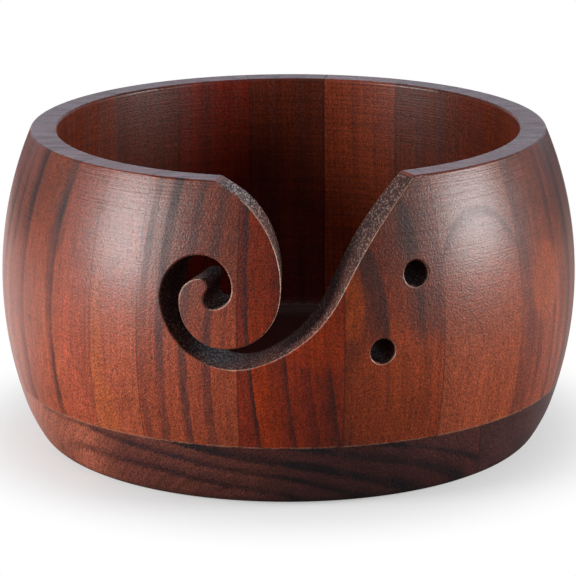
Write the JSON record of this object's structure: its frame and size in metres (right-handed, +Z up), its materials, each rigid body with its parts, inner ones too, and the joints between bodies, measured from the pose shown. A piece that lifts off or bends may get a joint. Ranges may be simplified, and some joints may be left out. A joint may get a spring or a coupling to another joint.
{
  "type": "wooden yarn bowl",
  "caption": "Turned wooden bowl of glued staves that holds a ball of yarn, with a scroll-shaped slot that guides the yarn and two through holes for needles.",
  "frame": {"origin": "centre of the flat foot, on the surface the bowl stands on", "axes": "+Z up out of the bowl's mouth; -Y towards the yarn slot; +X to the right seen from the slot's side"},
  "size_m": [0.15, 0.15, 0.0822],
  "materials": {
    "stave_wood_red": "red-brown stained, satin lacquer",
    "stave_wood_dark": "darker red-brown stained, satin lacquer",
    "base_wood": "dark red-brown stained, satin lacquer"
  },
  "bodies": {
    "root": {"stave_01_hook": "stave_wood_red", "stave_01_sill": "stave_wood_red", "stave_02_needle_holes": "stave_wood_red", "stave_03": "stave_wood_dark", "stave_04": "stave_wood_red", "stave_05": "stave_wood_red", "stave_06": "stave_wood_dark", "stave_07": "stave_wood_red", "stave_08": "stave_wood_dark", "stave_09": "stave_wood_red", "stave_10": "stave_wood_dark", "stave_11": "stave_wood_red", "stave_12": "stave_wood_dark", "stave_13": "stave_wood_red", "stave_14": "stave_wood_red", "stave_15": "stave_wood_dark", "stave_16": "stave_wood_dark", "stave_17": "stave_wood_red", "stave_18_scroll": "stave_wood_red", "base_board_wide": "base_wood", "base_board_narrow": "base_wood"}
  },
  "joints": []
}
